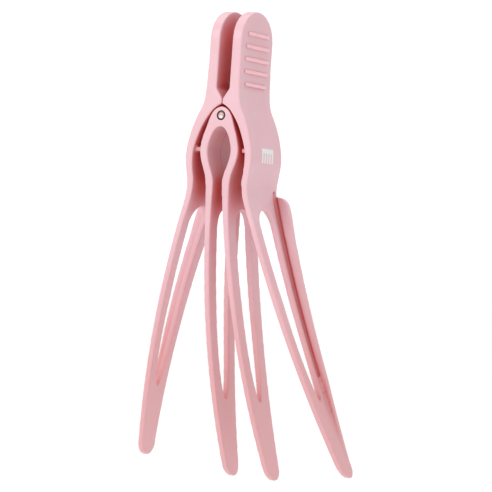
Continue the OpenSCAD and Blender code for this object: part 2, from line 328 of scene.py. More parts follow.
class Graph:
    """A short way to add and join nodes in one tree."""

    def __init__(self, tree: bpy.types.NodeTree) -> None:
        """Starts from an empty tree."""
        self.tree = tree
        tree.nodes.clear()

    def add(self, kind: str, **settings: object) -> bpy.types.Node:
        """Adds a node and sets its properties.

        Args:
            kind: The node's type.
            **settings: Its properties by name.

        Returns:
            The node.
        """
        node = self.tree.nodes.new(kind)
        for key, value in settings.items():
            setattr(node, key, value)
        return node

    def join(self, source: bpy.types.NodeSocket, target: bpy.types.NodeSocket) -> None:
        """Joins an output to an input."""
        self.tree.links.new(source, target)

    def math(self, operation: str, *values: object) -> bpy.types.NodeSocket:
        """Works out a sum, product, comparison and the like.

        Args:
            operation: The Math node's operation.
            *values: Numbers, or sockets to read them from.

        Returns:
            The result's socket.
        """
        node = self.add("ShaderNodeMath", operation=operation)
        for place, value in enumerate(values):
            if isinstance(value, bpy.types.NodeSocket):
                self.join(value, node.inputs[place])
            else:
                node.inputs[place].default_value = value
        return node.outputs[0]

    def all_of(self, *masks: bpy.types.NodeSocket) -> bpy.types.NodeSocket:
        """Where every mask is on."""
        product = masks[0]
        for mask in masks[1:]:
            product = self.math("MULTIPLY", product, mask)
        return product

    def between(self, value: bpy.types.NodeSocket, low: float, high: float) -> bpy.types.NodeSocket:
        """A mask that is on where a value is above low and below high."""
        return self.all_of(self.math("GREATER_THAN", value, low), self.math("LESS_THAN", value, high))

    def noise(self, where: bpy.types.NodeSocket, scale: float, detail: float = 2.0) -> bpy.types.NodeSocket:
        """Draws a cloudy pattern.

        Args:
            where: The coordinates to draw it on.
            scale: About how many clouds there are in a metre.
            detail: How many finer layers it has.

        Returns:
            The pattern's socket, from 0 to 1.
        """
        node = self.add("ShaderNodeTexNoise")
        node.inputs["Scale"].default_value = scale
        node.inputs["Detail"].default_value = detail
        self.join(where, node.inputs["Vector"])
        return node.outputs["Fac"]

    def fade(
        self, value: bpy.types.NodeSocket, start: float, end: float, curve: str = "LINEAR"
    ) -> bpy.types.NodeSocket:
        """Goes from 0 at start to 1 at end, and stays level outside them.

        Args:
            value: What to read.
            start: The value that gives 0.
            end: The value that gives 1.
            curve: The Map Range node's interpolation.

        Returns:
            The result's socket.
        """
        node = self.add("ShaderNodeMapRange", clamp=True, interpolation_type=curve)
        node.inputs["From Min"].default_value = start
        node.inputs["From Max"].default_value = end
        self.join(value, node.inputs["Value"])
        return node.outputs["Result"]

    def vary(self, pattern: bpy.types.NodeSocket, low: float, high: float) -> bpy.types.NodeSocket:
        """Stretches a pattern of 0 to 1 so that it runs from low to high."""
        node = self.add("ShaderNodeMapRange")
        node.inputs["To Min"].default_value = low
        node.inputs["To Max"].default_value = high
        self.join(pattern, node.inputs["Value"])
        return node.outputs["Result"]

    def ramp(
        self, pattern: bpy.types.NodeSocket, stops: Sequence[tuple[float, Colour]]
    ) -> bpy.types.NodeSocket:
        """Colours a pattern.

        Args:
            pattern: What to read.
            stops: Two or more pairs of a value and its colour, lowest first.

        Returns:
            The colour's socket.
        """
        node = self.add("ShaderNodeValToRGB")
        elements = node.color_ramp.elements
        elements[0].position = stops[0][0]
        elements[1].position = stops[-1][0]
        for position, _ in stops[1:-1]:
            elements.new(position)
        for element, (_, colour) in zip(elements, stops):
            element.color = (*colour, 1.0)
        self.join(pattern, node.inputs["Fac"])
        return node.outputs["Color"]

    def tint(
        self, mask: bpy.types.NodeSocket, under: bpy.types.NodeSocket, colour: Colour
    ) -> bpy.types.NodeSocket:
        """Lays one plain colour over another.

        Args:
            mask: Where to lay it, from 0 to 1.
            under: The colour that is there already.
            colour: The colour to lay.

        Returns:
            The mixed colour's socket.
        """
        node = self.add("ShaderNodeMix", data_type="RGBA")
        self.join(mask, node.inputs["Factor"])
        self.join(under, node.inputs[MIX_UNDER])
        node.inputs[MIX_OVER].default_value = (*colour, 1.0)
        return node.outputs[MIX_RESULT]

    def bump(self, pattern: bpy.types.NodeSocket, strength: float, depth: float) -> bpy.types.NodeSocket:
        """Roughens a surface.

        Args:
            pattern: The height of the grain, from 0 to 1.
            strength: How much of it shows.
            depth: How deep it is, in millimetres.

        Returns:
            The normal's socket.
        """
        node = self.add("ShaderNodeBump")
        node.inputs["Strength"].default_value = strength
        node.inputs["Distance"].default_value = mm(depth)
        self.join(pattern, node.inputs["Height"])
        return node.outputs["Normal"]


def start_material(name: str) -> tuple[bpy.types.Material, Graph, bpy.types.Node, bpy.types.NodeSocket]:
    """Starts a material with one plain shader.

    Args:
        name: The material's name.

    Returns:
        The material, its graph, the shader and the Object coordinates to draw with.
    """
    made = bpy.data.materials.new(name)
    made.use_nodes = True
    graph = Graph(made.node_tree)
    out = graph.add("ShaderNodeOutputMaterial")
    shader = graph.add("ShaderNodeBsdfPrincipled")
    graph.join(shader.outputs[0], out.inputs["Surface"])
    where = graph.add("ShaderNodeTexCoord")
    return made, graph, shader, where.outputs["Object"]


# --- Finishes -------------------------------------------------------------


@dataclass(frozen=True)
class CombMark:
    """A small comb printed on the bow of one lever: a spine over a row of teeth."""

    centre_y: float = 0.6
    centre_height: float = -8.6
    half_width: float = 2.9
    spine_height: float = 1.15
    tooth_height: float = 2.5
    tooth_pitch: float = 1.23
    tooth_share: float = 0.56
    outside_x: float = 8.4

    def mask(self, graph: Graph, xyz: bpy.types.Node) -> bpy.types.NodeSocket:
        """Draws the mark.

        Args:
            graph: The material's nodes.
            xyz: A Separate XYZ node that reads Object coordinates.

        Returns:
            A socket that is 1 on the print and 0 off it.
        """
        y = graph.math("SUBTRACT", xyz.outputs["Y"], mm(self.centre_y))
        z = graph.math("SUBTRACT", xyz.outputs["Z"], mm(PIN_HEIGHT + self.centre_height))
        wide = graph.math("LESS_THAN", graph.math("ABSOLUTE", y), mm(self.half_width))
        spine = graph.between(z, 0.0, mm(self.spine_height))
        from_edge = graph.math("ADD", y, mm(self.half_width))
        wave = graph.math("FRACT", graph.math("DIVIDE", from_edge, mm(self.tooth_pitch)))
        tooth = graph.math("LESS_THAN", wave, self.tooth_share)
        teeth = graph.all_of(tooth, graph.between(z, mm(-self.tooth_height), 0.0))
        shape = graph.math("MAXIMUM", spine, teeth)
        outside = graph.math("GREATER_THAN", xyz.outputs["X"], mm(self.outside_x))
        return graph.all_of(shape, wide, outside)


@dataclass(frozen=True)
class PartingLine:
    """The faint line that the mould leaves down the inside of the ring."""

    line_y: float = -1.2
    half_width: float = 0.11
    half_gap: float = 3.4
    bottom: float = -14.0
    top: float = -3.4
    strength: float = 0.75

    def mask(self, graph: Graph, xyz: bpy.types.Node) -> bpy.types.NodeSocket:
        """Draws the line.

        Args:
            graph: The material's nodes.
            xyz: A Separate XYZ node that reads Object coordinates.

        Returns:
            A socket that is above 0 on the line and 0 off it.
        """
        across = graph.math("ABSOLUTE", graph.math("SUBTRACT", xyz.outputs["Y"], mm(self.line_y)))
        thin = graph.math("LESS_THAN", across, mm(self.half_width))
        inside = graph.math("LESS_THAN", graph.math("ABSOLUTE", xyz.outputs["X"]), mm(self.half_gap))
        span = graph.between(xyz.outputs["Z"], mm(PIN_HEIGHT + self.bottom), mm(PIN_HEIGHT + self.top))
        return graph.math("MULTIPLY", graph.all_of(thin, inside, span), self.strength)


@dataclass(frozen=True)
class SatinPlastic:
    """Pale pink moulded plastic with a satin skin, with painted shade that darkens and reddens it down the
    legs and deep red painted shade in its gaps.
    """

    colour: Colour = (0.755, 0.480, 0.525)
    deep: Colour = (0.742, 0.460, 0.505)
    pale: Colour = (0.770, 0.502, 0.548)
    cloud_scale: float = 90.0
    cloud_stops: tuple[float, float, float] = (0.30, 0.50, 0.72)
    # Painted shade: a darker, redder colour down the legs, from 18 mm to 70 mm below the pin.
    leg_shade_colour: Colour = (0.715, 0.385, 0.400)
    leg_shade_from: float = -18.0
    leg_shade_to: float = -70.0
    # Painted shade: ambient occlusion lays this deep red in gaps and hollows, and the parting line is drawn
    # in it too.
    gap_shade_and_seam_colour: Colour = (0.66, 0.070, 0.055)
    gap_shade_reach: float = 7.0
    gap_shade_samples: int = 6
    open_from: float = 0.78
    open_to: float = 0.18
    roughness: float = 0.36
    gloss_scale: float = 420.0
    smoother: float = 0.05
    rougher: float = 0.07
    grain: float = 0.12
    grain_scale: float = 5200.0
    grain_depth: float = 0.02
    skin_weight: float = 0.2
    skin_radius: Colour = (1.0, 0.32, 0.28)
    skin_depth: float = 0.8
    skin_index: float = 1.47
    coat: float = 0.08
    coat_roughness: float = 0.25
    seam: Optional[PartingLine] = None
    mark: Optional[CombMark] = None
    print_colour: Colour = (0.80, 0.78, 0.78)

    def paint(self, graph: Graph, where: bpy.types.NodeSocket) -> bpy.types.NodeSocket:
        """Mixes the plastic's colour.

        Args:
            graph: The material's nodes.
            where: Object coordinates.

        Returns:
            The colour's socket.
        """
        clouds = graph.noise(where, self.cloud_scale, detail=3.0)
        colour = graph.ramp(clouds, list(zip(self.cloud_stops, (self.deep, self.colour, self.pale))))
        xyz = graph.add("ShaderNodeSeparateXYZ")
        graph.join(where, xyz.inputs[0])
        # Painted shade that darkens and reddens the colour down the legs.
        leg_shade_from, leg_shade_to = mm(PIN_HEIGHT + self.leg_shade_from), mm(PIN_HEIGHT + self.leg_shade_to)
        drop = graph.fade(xyz.outputs["Z"], leg_shade_from, leg_shade_to, "SMOOTHSTEP")
        colour = graph.tint(drop, colour, self.leg_shade_colour)
        # Painted shade: ambient occlusion turns hollows and the gaps between parts deep red.
        gap_shade_probe = graph.add("ShaderNodeAmbientOcclusion", samples=self.gap_shade_samples)
        gap_shade_probe.inputs["Distance"].default_value = mm(self.gap_shade_reach)
        depth = graph.fade(gap_shade_probe.outputs["AO"], self.open_from, self.open_to)
        colour = graph.tint(depth, colour, self.gap_shade_and_seam_colour)
        if self.seam is not None:
            # The parting line uses the same deep red as the painted gap shade.
            colour = graph.tint(self.seam.mask(graph, xyz), colour, self.gap_shade_and_seam_colour)
        if self.mark is not None:
            colour = graph.tint(self.mark.mask(graph, xyz), colour, self.print_colour)
        return colour

    def material(self, name: str) -> bpy.types.Material:
        """Builds the material.

        Args:
            name: The material's name.

        Returns:
            The material.
        """
        made, graph, shader, where = start_material(name)
        graph.join(self.paint(graph, where), shader.inputs["Base Color"])
        gloss = graph.noise(where, self.gloss_scale, detail=4.0)
        spread = graph.vary(gloss, self.roughness - self.smoother, self.roughness + self.rougher)
        graph.join(spread, shader.inputs["Roughness"])
        grain = graph.noise(where, self.grain_scale)
        graph.join(graph.bump(grain, self.grain, self.grain_depth), shader.inputs["Normal"])
        shader.inputs["Subsurface Weight"].default_value = self.skin_weight
        shader.inputs["Subsurface Radius"].default_value = self.skin_radius
        shader.inputs["Subsurface Scale"].default_value = mm(self.skin_depth)
        shader.inputs["IOR"].default_value = self.skin_index
        shader.inputs["Coat Weight"].default_value = self.coat
        shader.inputs["Coat Roughness"].default_value = self.coat_roughness
        return made


@dataclass(frozen=True)
class SatinSteel:
    """Drawn steel with fine scratches, coloured dark round the rim of the pin's head."""

    bright: Colour = (0.66, 0.54, 0.51)
    dull: Colour = (0.42, 0.31, 0.29)
    dull_to: float = 0.35
    bright_from: float = 0.6
    # A dark colour laid round the pin's axis, so the rim of the head is dark and its middle bright.
    rim: Colour = (0.11, 0.07, 0.06)
    rim_from: float = 0.62
    rim_to: float = 0.86
    roughness: float = 0.34
    smoother: float = 0.08
    rougher: float = 0.14
    scratches: float = 900.0
    scratch_strength: float = 0.2
    scratch_depth: float = 0.02

    def material(self, name: str) -> bpy.types.Material:
        """Builds the material.

        Args:
            name: The material's name.

        Returns:
            The material.
        """
        made, graph, shader, where = start_material(name)
        noise = graph.noise(where, self.scratches, detail=6.0)
        colour = graph.ramp(noise, [(self.dull_to, self.dull), (self.bright_from, self.bright)])
        xyz = graph.add("ShaderNodeSeparateXYZ")
        graph.join(where, xyz.inputs[0])
        rise = graph.math("SUBTRACT", xyz.outputs["Z"], mm(PIN_HEIGHT))
        across, up = graph.math("POWER", xyz.outputs["X"], 2.0), graph.math("POWER", rise, 2.0)
        square = graph.math("ADD", across, up)
        from_axis = graph.math("SQRT", square)
        # Dark from 0.86 mm out from the pin's axis, fading in from 0.62 mm.
        rim = graph.fade(from_axis, mm(self.rim_from), mm(self.rim_to), "SMOOTHSTEP")
        graph.join(graph.tint(rim, colour, self.rim), shader.inputs["Base Color"])
        spread = graph.vary(noise, self.roughness - self.smoother, self.roughness + self.rougher)
        graph.join(spread, shader.inputs["Roughness"])
        graph.join(graph.bump(noise, self.scratch_strength, self.scratch_depth), shader.inputs["Normal"])
        shader.inputs["Metallic"].default_value = 1.0
        return made


@dataclass(frozen=True)
class StudioPaper:
    """Seamless white paper with a faint mottle."""

    bright: float = 0.93
    dim: float = 0.91
    mottle: float = 60.0
    roughness: float = 0.9
    shine: float = 0.1

    def material(self, name: str) -> bpy.types.Material:
        """Builds the material.

        Args:
            name: The material's name.

        Returns:
            The material.
        """
        made, graph, shader, where = start_material(name)
        stops = [(0.0, (self.dim,) * 3), (1.0, (self.bright,) * 3)]
        graph.join(graph.ramp(graph.noise(where, self.mottle), stops), shader.inputs["Base Color"])
        shader.inputs["Roughness"].default_value = self.roughness
        shader.inputs["Specular IOR Level"].default_value = self.shine
        return made


def dress(obj: bpy.types.Object, material: bpy.types.Material) -> None:
    """Gives a piece its material."""
    obj.data.materials.clear()
    obj.data.materials.append(material)


# --- The levers -----------------------------------------------------------


@dataclass
class GripRibs:
    """The row of raised ribs on the outside of a thumb pad, placed by Geometry Nodes."""

    count: int = 5
    pitch: float = 3.15
    radius: float = 0.5
    half_length: float = 5.75
    first_height: float = 20.75
    face_x: float = 4.64
    middle_stretch: float = 1.04
    end_shrink: float = 0.14
    ball_sides: int = 32
    ball_rings: int = 24

    def tree(self, material: bpy.types.Material) -> bpy.types.NodeTree:
        """Builds the tree that makes a row of round-ended bars.

        Args:
            material: What the bars are made of.

        Returns:
            The tree, with the sizes as its inputs.
        """
        tree = bpy.data.node_groups.new("grip_rib_row", "GeometryNodeTree")
        face = tree.interface
        face.new_socket("Geometry", in_out="INPUT", socket_type="NodeSocketGeometry")
        face.new_socket("Count", in_out="INPUT", socket_type="NodeSocketInt")
        for word in ("Pitch", "Radius", "Half Length"):
            face.new_socket(word, in_out="INPUT", socket_type="NodeSocketFloat")
        for word in ("Start", "Step Direction"):
            face.new_socket(word, in_out="INPUT", socket_type="NodeSocketVector")
        face.new_socket("Geometry", in_out="OUTPUT", socket_type="NodeSocketGeometry")
        graph = Graph(tree)
        given = graph.add("NodeGroupInput")
        ball = graph.add("GeometryNodeMeshUVSphere")
        ball.inputs["Segments"].default_value = self.ball_sides
        ball.inputs["Rings"].default_value = self.ball_rings
        graph.join(given.outputs["Radius"], ball.inputs["Radius"])
        tilt = graph.add("GeometryNodeTransform")
        tilt.inputs["Rotation"].default_value = (math.radians(90), 0.0, 0.0)
        graph.join(ball.outputs["Mesh"], tilt.inputs["Geometry"])
        place = graph.add("GeometryNodeInputPosition")
        split = graph.add("ShaderNodeSeparateXYZ")
        graph.join(place.outputs[0], split.inputs[0])
        off_middle = graph.math("GREATER_THAN", graph.math("ABSOLUTE", split.outputs["Y"]), ALMOST_NOTHING)
        end = graph.math("SIGN", graph.math("MULTIPLY", off_middle, split.outputs["Y"]))
        straight = graph.math("SUBTRACT", given.outputs["Half Length"], given.outputs["Radius"])
        reach = graph.math("MULTIPLY", end, straight)
        shift = graph.add("ShaderNodeCombineXYZ")
        graph.join(reach, shift.inputs["Y"])
        stretch = graph.add("GeometryNodeSetPosition")
        graph.join(tilt.outputs["Geometry"], stretch.inputs["Geometry"])
        graph.join(shift.outputs[0], stretch.inputs["Offset"])
        line = graph.add("GeometryNodeMeshLine")
        step = graph.add("ShaderNodeVectorMath", operation="SCALE")
        graph.join(given.outputs["Step Direction"], step.inputs[0])
        graph.join(given.outputs["Pitch"], step.inputs["Scale"])
        graph.join(given.outputs["Count"], line.inputs["Count"])
        graph.join(given.outputs["Start"], line.inputs["Start Location"])
        graph.join(step.outputs[0], line.inputs["Offset"])
        index = graph.add("GeometryNodeInputIndex")
        half = graph.math("MULTIPLY", graph.math("SUBTRACT", given.outputs["Count"], 1.0), 0.5)
        off = graph.math("DIVIDE", graph.math("SUBTRACT", index.outputs[0], half), half)
        loss = graph.math("MULTIPLY", graph.math("MULTIPLY", off, off), self.end_shrink)
        shorter = graph.math("SUBTRACT", self.middle_stretch, loss)
        size = graph.add("ShaderNodeCombineXYZ")
        size.inputs["X"].default_value = 1.0
        size.inputs["Z"].default_value = 1.0
        graph.join(shorter, size.inputs["Y"])
        copies = graph.add("GeometryNodeInstanceOnPoints")
        graph.join(line.outputs["Mesh"], copies.inputs["Points"])
        graph.join(stretch.outputs["Geometry"], copies.inputs["Instance"])
        graph.join(size.outputs[0], copies.inputs["Scale"])
        real = graph.add("GeometryNodeRealizeInstances")
        graph.join(copies.outputs["Instances"], real.inputs["Geometry"])
        soft = graph.add("GeometryNodeSetShadeSmooth")
        graph.join(real.outputs["Geometry"], soft.inputs["Geometry"])
        paint = graph.add("GeometryNodeSetMaterial")
        paint.inputs["Material"].default_value = material
        graph.join(soft.outputs["Geometry"], paint.inputs["Geometry"])
        done = graph.add("NodeGroupOutput")
        graph.join(paint.outputs["Geometry"], done.inputs[0])
        return tree

    def build(self, side: Side, material: bpy.types.Material) -> bpy.types.Object:
        """Makes one pad's ribs as a plain mesh.

        Args:
            side: The lever that they are on.
            material: What they are made of.

        Returns:
            The ribs.
        """
        obj = new_object(f"{side.word}_grip_ribs", bpy.data.meshes.new("grip_ribs"))
        row = obj.modifiers.new("ribs", "NODES")
        row.node_group = self.tree(material)
        values = {
            "Count": self.count, "Pitch": mm(self.pitch), "Radius": mm(self.radius),
            "Half Length": mm(self.half_length),
            "Start": (mm(side.value * self.face_x), 0.0, mm(PIN_HEIGHT + self.first_height)),
            "Step Direction": (0.0, 0.0, -1.0),
        }
        for item in row.node_group.interface.items_tree:
            if item.in_out == "INPUT" and item.name in values:
                row[item.identifier] = values[item.name]
        apply_modifiers(obj)
        return obj


@dataclass
class Lever:
    """One outer lever: thumb pad, waist, bowed shell, slotted leg and fin, as one softened moulding."""

    side: Side
    ribs: GripRibs = field(default_factory=GripRibs)
    voxel: float = 0.21
    softness: int = 12
    foot: Point = (11.0, -26.4)
    splay: float = 17.8
    knee: float = 0.30
    pad_face: float = 4.6
    half_width: float = 7.9
    back_sweep: float = 0.0031
    back_from: float = 27.4
    fin_thickness: float = 1.4
    corner_radius: float = 0.62
    corner_top: float = -17.8
    corner_end: float = -80.0
    corner_steps: int = 60
    corner_sides: int = 12
    corner_taper: float = 0.85
    rib_skin: float = 0.001
    rib_depth: float = 2.0
    rib_heights: Span = (7.0, 23.0)
    rib_half_length: float = 7.0

    def rib_eraser(self) -> bpy.types.Object:
        """The block that takes the plain ribs off the pad, to make room for the rounded ones."""
        low, high = self.pad_face + self.rib_skin, self.pad_face + self.rib_depth
        foot, head = self.rib_heights
        corners = ((low, foot), (high, foot), (high, head), (low, head))
        block = [(self.side.value * x, z) for x, z in corners]
        return prism("rib_eraser", block, Plane.FRONT, -self.rib_half_length, self.rib_half_length)

    def corner_tool(self) -> bpy.types.Object:
        """The thin bar that hollows the corner between the leg's outer face and its fin."""
        work = bmesh.new()
        angles = [math.tau * k / self.corner_sides for k in range(self.corner_sides)]
        rings = []
        for i in range(self.corner_steps + 1):
            height = self.corner_top + (self.corner_end - self.corner_top) * i / self.corner_steps
            out = self.foot[0] + math.tan(math.radians(self.splay)) * (self.foot[1] - height)
            if height > self.foot[1]:
                out = self.foot[0] - self.knee * (height - self.foot[1])
            swept = self.back_sweep * min(height + self.back_from, 0.0) ** 2
            back = self.half_width + swept - self.fin_thickness
            size = self.corner_radius * (1.0 - self.corner_taper * (i / self.corner_steps) ** 2)
            rings.append([
                work.verts.new((
                    mm(self.side.value * (out + size * math.cos(angle))),
                    mm(back + size * math.sin(angle)), mm(PIN_HEIGHT + height),
                ))
                for angle in angles
            ])
        for first, second in zip(rings, rings[1:]):
            for k in range(self.corner_sides):
                j = (k + 1) % self.corner_sides
                work.faces.new((first[k], first[j], second[j], second[k]))
        work.faces.new(rings[0])
        work.faces.new(rings[-1])
        bmesh.ops.recalc_face_normals(work, faces=work.faces)
        return as_object(work, "corner_tool")

    def build(self, plastic: bpy.types.Material, rib_plastic: bpy.types.Material) -> list[bpy.types.Object]:
        """Makes the lever and its ribs.

        Args:
            plastic: The lever's material.
            rib_plastic: The ribs' material.

        Returns:
            The pieces.
        """
        node = f"{self.side.word}_lever"
        shell = cad_copy(node, f"{self.side.word}_lever_moulding")
        combine(shell, [self.corner_tool(), self.rib_eraser()], "DIFFERENCE")
        soften(shell, self.voxel, self.softness)
        dress(shell, plastic)
        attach(shell, node)
        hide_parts(node)
        ribs = self.ribs.build(self.side, rib_plastic)
        dress(ribs, rib_plastic)
        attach(ribs, node)
        return [shell, ribs]


# --- The fork -------------------------------------------------------------


@dataclass
class Fork:
    """The flexible inner fork: crown, oval ring and two slotted legs, cut between its bending places."""

    half_width: float = 7.8
    bend_height: float = -7.4
    front_sweep: float = 0.0037
    back_sweep: float = 0.0023
    tip: float = 91.35
    tip_round: float = 3.2
    leg_splay: float = 3.2
    leg_thickness: float = 1.55
    neck_inside: float = 1.25
    slot_top: float = -23.1
    slot_end: float = -71.2
    slot_half: float = 2.95
    slot_blunt: float = 0.09
    slot_even: float = 0.4
    slot_flare: Span = (0.25, 0.15)
    slot_steps: int = 60
    cheek: float = 2.1
    lug_space: float = 2.2
    pocket_half: float = 6.0
    pocket_heights: Span = (-1.15, 5.0)
    pin_hole: float = 1.02
    head_seat: float = 1.24
    seat_depth: float = 0.7
    depth_limits: Span = (-10.0, 40.0)
    side_limits: Span = (-20.0, 20.0)
    slot_limits: Span = (-30.0, 30.0)
    tool_reach: float = 12.0
    shoulder: Point = (2.9, -4.0)
    shoulder_reach: float = 1.6
    bow: Point = (4.35, -9.0)
    bow_reach: float = 2.2
    neck: Point = (2.3, -17.0)
    neck_reach: float = 2.4
    side_top: float = 3.0
    side_steps: int = 90
    voxel: float = 0.2
    softness: int = 10

    def inner_face(self, height: float) -> float:
        """How far the inside of the leg is from the middle at a height from the pin."""
        return self.neck_inside + math.tan(math.radians(self.leg_splay)) * (self.neck[1] - height)

    def outside(self) -> list[Point]:
        """The right-hand outside of the crown, ring and leg, from the point to the tip."""
        return smooth_curve([
            (0.0, 2.25), (1.0, 1.98), (1.95, 1.38), (2.8, 0.27), (3.41, -1.2), (3.99, -2.9), (4.8, -5.2),
            (5.38, -7.6), (5.40, -9.4), (5.02, -11.3), (4.35, -13.1), (3.75, -14.9), (3.42, -16.9),
            (3.36, -19.0), (self.inner_face(-24) + 1.72, -24.0),
            (self.inner_face(-32) + self.leg_thickness, -32.0),
        ]) + [(self.inner_face(-self.tip - 1) + self.leg_thickness, -self.tip - 1)]

    def inside(self) -> list[Point]:
        """The right-hand inside of the ring and leg, from the top of the ring's hole to the tip."""
        return smooth_curve([
            (0.0, -2.75), (1.3, -3.3), (2.35, -5.0), (3.05, -7.0), (3.27, -8.9), (3.0, -10.8),
            (2.35, -12.8), (1.7, -14.5), (1.32, -16.0), (self.neck_inside + 0.02, -17.6),
            (self.inner_face(-21), -21.0), (self.inner_face(-26), -26.0),
        ]) + [(self.inner_face(-self.tip - 1), -self.tip - 1)]

    def edge(self, height: float, end: int) -> Point:
        """A point on the front or back edge, seen from the side.

        Args:
            height: The height from the pin.
            end: -1 for the front edge and 1 for the back edge.

        Returns:
            The point in the side view.
        """
        drop = min(height - self.bend_height, 0.0) ** 2
        front = -self.half_width + self.front_sweep * drop
        back = self.half_width + self.back_sweep * drop
        share = rounded(height + self.tip, self.tip_round)
        return ((front + back) / 2 + end * share * (back - front) / 2, height)

    def side_outline(self) -> list[Point]:
        """The whole fork seen from the side."""
        length = self.side_top + self.tip - self.tip_round
        straight = [self.side_top - i * length / self.side_steps for i in range(self.side_steps)]
        ends = [-self.tip + self.tip_round * (1 - math.sin(math.radians(a))) for a in range(0, 90, 5)]
        heights = straight + ends + [-self.tip]
        return [self.edge(h, -1) for h in heights] + [self.edge(h, 1) for h in reversed(heights[:-1])]

    def slot_outline(self) -> list[Point]:
        """The long slot in a leg seen from the side."""
        count = self.slot_steps
        out: list[Point] = []
        for i in range(2 * count):
            turn = i if i <= count else 2 * count - i
            share = (1 - math.cos(math.pi * turn / count)) / 2
            height = self.slot_top + (self.slot_end - self.slot_top) * share
            flare = 1 + self.slot_flare[0 if i <= count else 1] * max(0.0, 1 - 2 * share)
            late = max(0.0, share - self.slot_even) / (1 - self.slot_even)
            half = self.slot_half * flare * rounded(share, self.slot_blunt) * math.sqrt(max(0.0, 1 - late**2))
            middle = (self.edge(height, -1)[0] + self.edge(height, 1)[0]) / 2
            out.append((middle + (half if i > count else -half), height))
        return out

    def blank(self) -> bpy.types.Object:
        """The whole fork as one softened moulding."""
        right = self.outside() + list(reversed(self.inside()))
        left = [(-x, z) for x, z in right]
        body = prism("fork_blank", right, Plane.FRONT, *self.depth_limits)
        other = prism("fork_left", left, Plane.FRONT, *self.depth_limits)
        combine(body, [other], "UNION")
        side = prism("fork_side", self.side_outline(), Plane.SIDE, *self.side_limits)
        slot = prism("fork_slot", self.slot_outline(), Plane.SIDE, *self.slot_limits)
        combine(side, [slot], "DIFFERENCE")
        combine(body, [side], "INTERSECT")
        inner = self.half_width - self.cheek
        wide, (floor, roof) = self.pocket_half, self.pocket_heights
        pocket = [(-wide, floor), (wide, floor), (wide, roof), (-wide, roof)]
        combine(body, [
            rod("lug_room", 0, 0, self.lug_space, -inner, inner),
            prism("lug_pocket", pocket, Plane.FRONT, -inner, inner),
            rod("pin_hole", 0, 0, self.pin_hole, -self.tool_reach, self.tool_reach),
        ], "DIFFERENCE")
        soften(body, self.voxel, self.softness)
        seat_start = self.half_width - self.seat_depth
        combine(body, [
            rod("head_seat_front", 0, 0, self.head_seat, -self.tool_reach, -seat_start),
            rod("head_seat_back", 0, 0, self.head_seat, seat_start, self.tool_reach),
        ], "DIFFERENCE")
        return body

    def cuts(self, side: Side) -> dict[str, CutPlane]:
        """The planes that part the crown, ring and leg on one side, each facing the tips.

        Args:
            side: The side of the clip.

        Returns:
            A plane for each cut, as a point and a direction.
        """
        def plane(point: Point, direction: Point) -> CutPlane:
            """A plane across the wall at a point of the front view."""
            place = Vector((mm(side.value * point[0]), 0, mm(PIN_HEIGHT + point[1])))
            return place, Vector((side.value * direction[0], 0, direction[1])).normalized()

        return {
            "crown": plane((2.2, -2.6), (0.45, -1.0)),
            "ring": plane((3.75, -6.4), (0.35, -1.0)),
            "foot": plane((3.4, -13.0), (-0.42, -1.0)),
        }

    def build(self, plastic: bpy.types.Material) -> list[bpy.types.Object]:
        """Makes the fork's pieces, cut apart at its flexing places.

        Args:
            plastic: The fork's material.

        Returns:
            The pieces.
        """
        blank = self.blank()
        pieces: list[bpy.types.Object] = []
        crown_planes: list[CutPlane] = []
        for side in Side:
            cuts = self.cuts(side)
            half = (Vector((0, 0, 0)), Vector((side.value, 0, 0)))
            back = {key: (at, -way) for key, (at, way) in cuts.items()}
            word = side.word
            shoulder = slice_between(blank, f"{word}_fork_shoulder", [half, cuts["crown"], back["ring"]])
            bow = slice_between(blank, f"{word}_fork_bow", [half, cuts["ring"], back["foot"]])
            leg = slice_between(blank, f"{word}_fork_leg", [half, cuts["foot"]])
            crown_planes.append(back["crown"])
            for piece in (shoulder, bow, leg):
                dress(piece, plastic)
            arm, foot, inner_leg = f"{word}_ring_arm", f"{word}_ring_foot", f"{word}_inner_leg"
            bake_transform(shoulder)
            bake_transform(bow)
            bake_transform(leg)
            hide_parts(arm)
            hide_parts(foot)
            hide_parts(inner_leg)
            pieces += [shoulder, bow, leg]
        crown = slice_between(blank, "fork_crown_moulding", crown_planes)
        dress(crown, plastic)
        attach(crown, "fork_crown")
        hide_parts("fork_crown")
        bpy.data.objects.remove(blank)
        return [crown, *pieces]


# --- Pin and spring -------------------------------------------------------


@dataclass
class HingePin:
    """The riveted pin with its two formed heads."""

    radius: float = 1.0
    head: float = 1.15
    half_length: float = 7.78
    head_depth: float = 0.7
    dimple: float = 0.12

    def build(self, steel: bpy.types.Material) -> bpy.types.Object:
        """Makes the pin.

        Args:
            steel: The pin's material.

        Returns:
            The pin.
        """
        end = self.half_length
        head = [
            (-end + self.dimple, 0.12), (-end + 0.06, 0.45), (-end, 0.72), (-end + 0.01, 0.92),
            (-end + 0.06, 1.06), (-end + 0.16, self.head), (-end + self.head_depth - 0.04, self.head),
            (-end + self.head_depth, self.head - 0.06), (-end + self.head_depth + 0.02, self.radius),
        ]
        profile = head + [(-along, radius) for along, radius in reversed(head)]
        pin = revolve("hinge_pin", profile)
        dress(pin, steel)
        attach(pin, "fork_crown")
        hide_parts("pivot_pin")
        return pin


